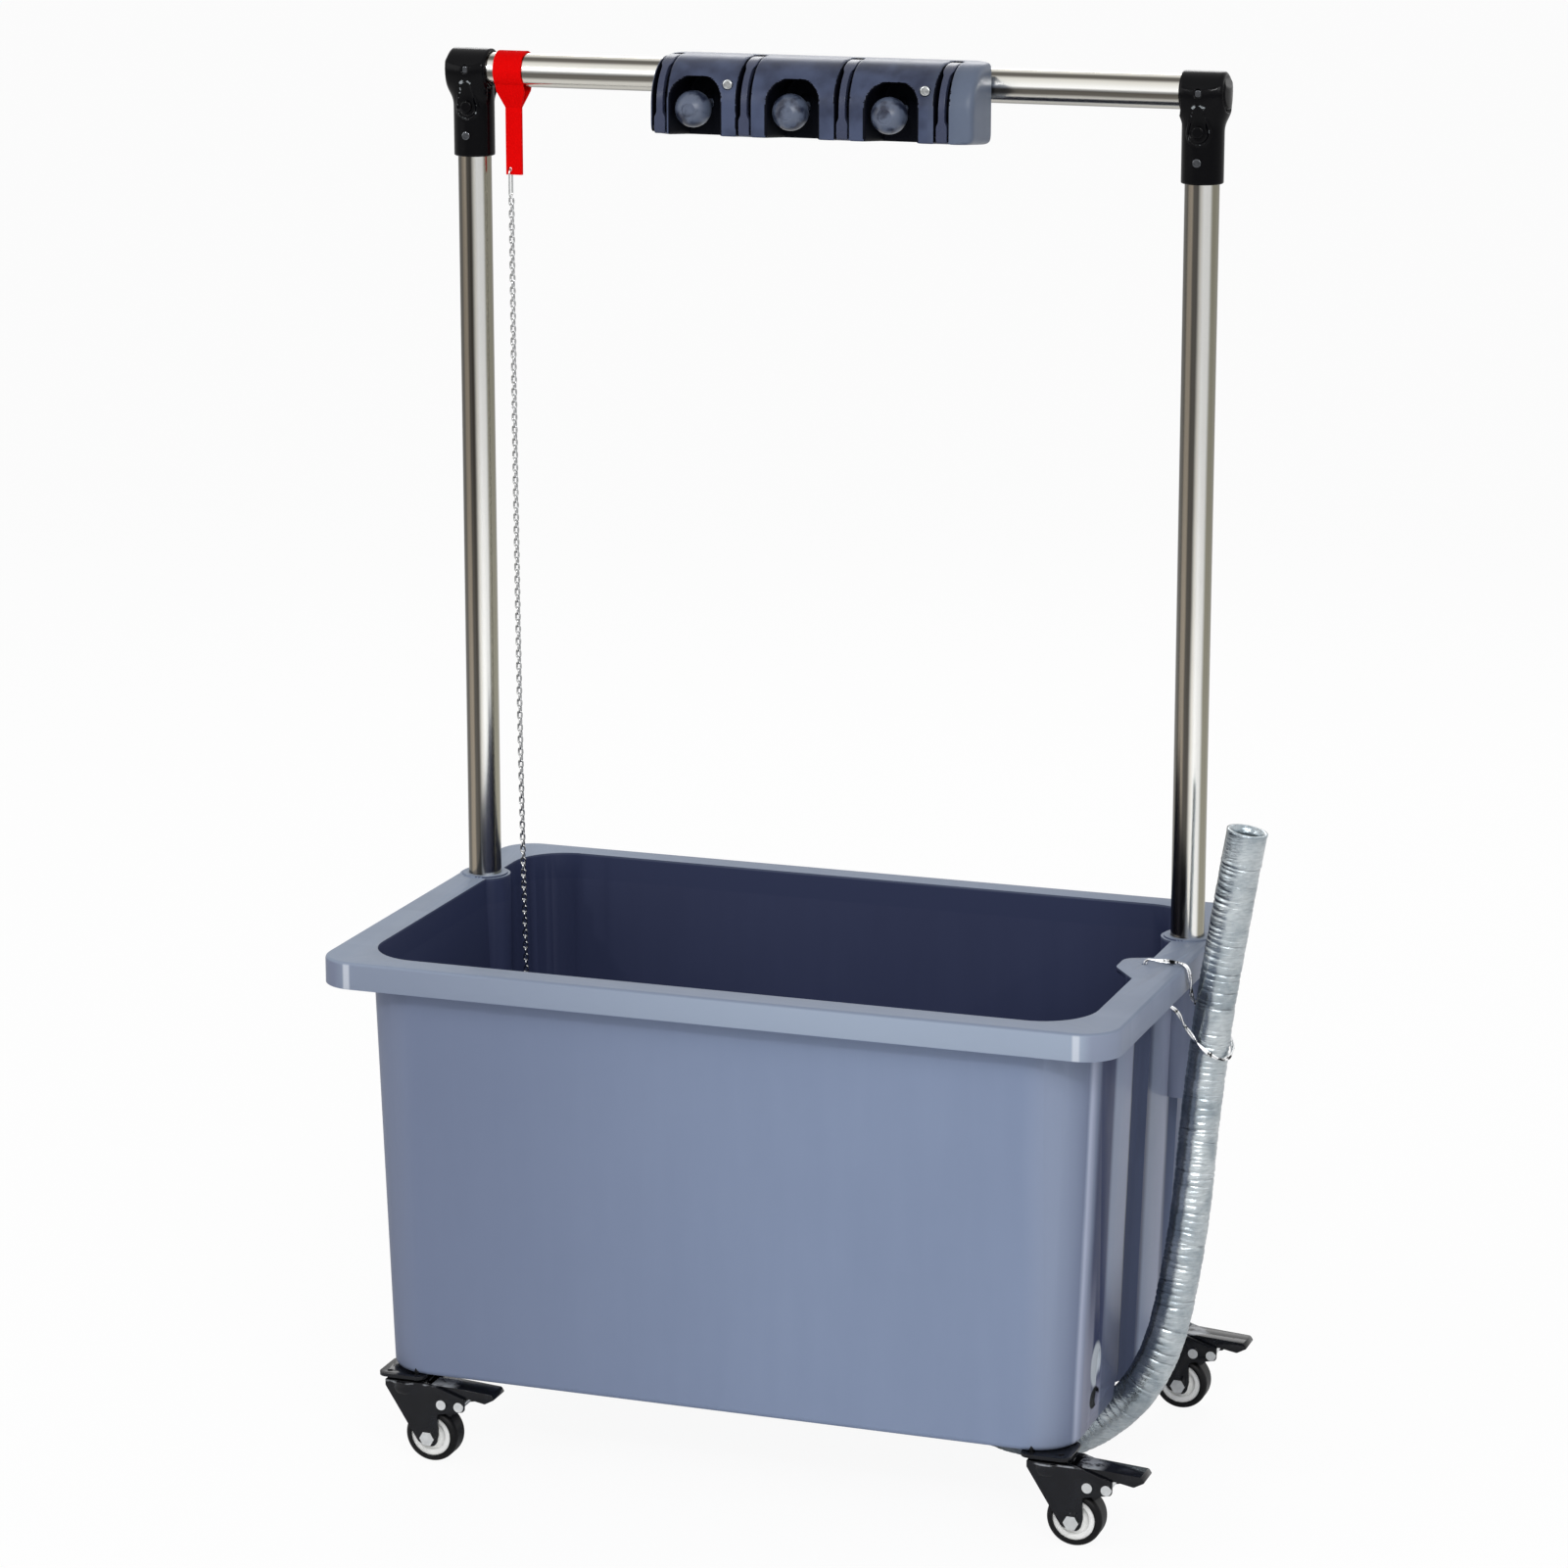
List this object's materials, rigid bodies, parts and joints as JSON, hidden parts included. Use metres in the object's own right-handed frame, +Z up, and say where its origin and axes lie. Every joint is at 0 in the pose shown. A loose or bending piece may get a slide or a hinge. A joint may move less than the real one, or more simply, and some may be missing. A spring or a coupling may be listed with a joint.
{
  "type": "freestanding laundry sink",
  "caption": "Moulded laundry tub on braked casters, with a tube frame that carries a mop holder, a plug on a chain and an upright drain hose.",
  "frame": {"origin": "on the floor under the middle of the footprint of the tub and its casters' pedals, without the drain hose", "axes": "+X towards the end with the drain hose, +Y towards the back where the tube frame stands, +Z up"},
  "size_m": [0.6548, 0.376, 1.0255],
  "materials": {
    "blue_plastic": "satin",
    "chromed_tube": "polished",
    "black_plastic": "satin",
    "zinc": "bright",
    "black_metal": "gloss",
    "slate_plastic": "satin",
    "roller_rubber": "matt",
    "red_webbing": "woven",
    "bright_chain": "polished",
    "pale_plastic": "satin",
    "black_rubber": "matt",
    "white_plastic": "satin",
    "clear_hose": "glossy"
  },
  "bodies": {
    "stand": {"tub": "blue_plastic", "left_upright": "chromed_tube", "right_upright": "chromed_tube", "crossbar": "chromed_tube", "left_elbow": "black_plastic", "right_elbow": "black_plastic", "elbow_screws": "zinc", "elbow_clamp_bolts": "black_metal", "holder_housing": "slate_plastic", "holder_hook_pins": "zinc", "holder_screws": "zinc", "strap": "red_webbing", "chain_ring": "zinc", "plug_chain": "bright_chain", "drain_flange": "pale_plastic", "drain_gasket": "black_rubber", "drain_nut": "pale_plastic", "drain_elbow": "pale_plastic", "drain_hose": "clear_hose", "hose_clamp": "zinc", "hose_tie": "zinc", "caster_screws": "zinc", "front_left_plate": "zinc", "front_right_plate": "zinc", "back_left_plate": "zinc", "back_right_plate": "zinc"},
    "front_left_swivel": {"front_left_fork": "black_metal", "front_left_axle_and_rivets": "zinc"},
    "front_left_wheel": {"front_left_tyre": "black_rubber", "front_left_wheel_core": "white_plastic"},
    "front_left_pedal": {"front_left_brake_pedal": "black_metal"},
    "front_right_swivel": {"front_right_fork": "black_metal", "front_right_axle_and_rivets": "zinc"},
    "front_right_wheel": {"front_right_tyre": "black_rubber", "front_right_wheel_core": "white_plastic"},
    "front_right_pedal": {"front_right_brake_pedal": "black_metal"},
    "back_left_swivel": {"back_left_fork": "black_metal", "back_left_axle_and_rivets": "zinc"},
    "back_left_wheel": {"back_left_tyre": "black_rubber", "back_left_wheel_core": "white_plastic"},
    "back_left_pedal": {"back_left_brake_pedal": "black_metal"},
    "back_right_swivel": {"back_right_fork": "black_metal", "back_right_axle_and_rivets": "zinc"},
    "back_right_wheel": {"back_right_tyre": "black_rubber", "back_right_wheel_core": "white_plastic"},
    "back_right_pedal": {"back_right_brake_pedal": "black_metal"},
    "hook_1": {"holder_hook_1": "slate_plastic"},
    "hook_2": {"holder_hook_2": "slate_plastic"},
    "hook_3": {"holder_hook_3": "slate_plastic"},
    "hook_4": {"holder_hook_4": "slate_plastic"},
    "roller_1_carriage": {"holder_roller_pin_1": "zinc"},
    "roller_1": {"holder_roller_1": "roller_rubber"},
    "roller_2_carriage": {"holder_roller_pin_2": "zinc"},
    "roller_2": {"holder_roller_2": "roller_rubber"},
    "roller_3_carriage": {"holder_roller_pin_3": "zinc"},
    "roller_3": {"holder_roller_3": "roller_rubber"},
    "plug": {"drain_plug": "black_rubber", "plug_ring": "zinc"}
  },
  "joints": [
    {"name": "front_left_turn", "type": "hinge", "parent": "stand", "child": "front_left_swivel", "pos_m": [-0.258, -0.146, 0.062], "axis": [0, 0, 1], "continuous": true},
    {"name": "front_left_roll", "type": "hinge", "parent": "front_left_swivel", "child": "front_left_wheel", "pos_m": [-0.238, -0.146, 0.0205], "axis": [0, 1, 0], "continuous": true},
    {"name": "front_left_brake", "type": "hinge", "parent": "front_left_swivel", "child": "front_left_pedal", "pos_m": [-0.227, -0.146, 0.0475], "axis": [0, 1, 0], "range_deg": [0, 10]},
    {"name": "front_right_turn", "type": "hinge", "parent": "stand", "child": "front_right_swivel", "pos_m": [0.238, -0.146, 0.062], "axis": [0, 0, 1], "continuous": true},
    {"name": "front_right_roll", "type": "hinge", "parent": "front_right_swivel", "child": "front_right_wheel", "pos_m": [0.258, -0.146, 0.0205], "axis": [0, 1, 0], "continuous": true},
    {"name": "front_right_brake", "type": "hinge", "parent": "front_right_swivel", "child": "front_right_pedal", "pos_m": [0.269, -0.146, 0.0475], "axis": [0, 1, 0], "range_deg": [0, 10]},
    {"name": "back_left_turn", "type": "hinge", "parent": "stand", "child": "back_left_swivel", "pos_m": [-0.258, 0.146, 0.062], "axis": [0, 0, 1], "continuous": true},
    {"name": "back_left_roll", "type": "hinge", "parent": "back_left_swivel", "child": "back_left_wheel", "pos_m": [-0.238, 0.146, 0.0205], "axis": [0, 1, 0], "continuous": true},
    {"name": "back_left_brake", "type": "hinge", "parent": "back_left_swivel", "child": "back_left_pedal", "pos_m": [-0.227, 0.146, 0.0475], "axis": [0, 1, 0], "range_deg": [0, 10]},
    {"name": "back_right_turn", "type": "hinge", "parent": "stand", "child": "back_right_swivel", "pos_m": [0.238, 0.146, 0.062], "axis": [0, 0, 1], "continuous": true},
    {"name": "back_right_roll", "type": "hinge", "parent": "back_right_swivel", "child": "back_right_wheel", "pos_m": [0.258, 0.146, 0.0205], "axis": [0, 1, 0], "continuous": true},
    {"name": "back_right_brake", "type": "hinge", "parent": "back_right_swivel", "child": "back_right_pedal", "pos_m": [0.269, 0.146, 0.0475], "axis": [0, 1, 0], "range_deg": [0, 10]},
    {"name": "hook_1_flip", "type": "hinge", "parent": "stand", "child": "hook_1", "pos_m": [-0.11875, 0.0275, 0.9745], "axis": [1, 0, 0], "range_deg": [0, 75]},
    {"name": "hook_2_flip", "type": "hinge", "parent": "stand", "child": "hook_2", "pos_m": [-0.05425, 0.0275, 0.9745], "axis": [1, 0, 0], "range_deg": [0, 75]},
    {"name": "hook_3_flip", "type": "hinge", "parent": "stand", "child": "hook_3", "pos_m": [0.02025, 0.0275, 0.9745], "axis": [1, 0, 0], "range_deg": [0, 75]},
    {"name": "hook_4_flip", "type": "hinge", "parent": "stand", "child": "hook_4", "pos_m": [0.09475, 0.0275, 0.9745], "axis": [1, 0, 0], "range_deg": [0, 75]},
    {"name": "roller_1_rise", "type": "slide", "parent": "stand", "child": "roller_1_carriage", "axis": [-0.0872, 0, 0.9962], "range_m": [0, 0.008]},
    {"name": "roller_1_spin", "type": "hinge", "parent": "roller_1_carriage", "child": "roller_1", "pos_m": [-0.0962, 0.034, 0.988], "axis": [0, 1, 0], "continuous": true},
    {"name": "roller_2_rise", "type": "slide", "parent": "stand", "child": "roller_2_carriage", "axis": [-0.0872, 0, 0.9962], "range_m": [0, 0.008]},
    {"name": "roller_2_spin", "type": "hinge", "parent": "roller_2_carriage", "child": "roller_2", "pos_m": [-0.0217, 0.034, 0.988], "axis": [0, 1, 0], "continuous": true},
    {"name": "roller_3_rise", "type": "slide", "parent": "stand", "child": "roller_3_carriage", "axis": [-0.0872, 0, 0.9962], "range_m": [0, 0.008]},
    {"name": "roller_3_spin", "type": "hinge", "parent": "roller_3_carriage", "child": "roller_3", "pos_m": [0.0528, 0.034, 0.988], "axis": [0, 1, 0], "continuous": true},
    {"name": "plug_lift", "type": "slide", "parent": "stand", "child": "plug", "axis": [0, 0, 1], "range_m": [0, 0.03]}
  ]
}
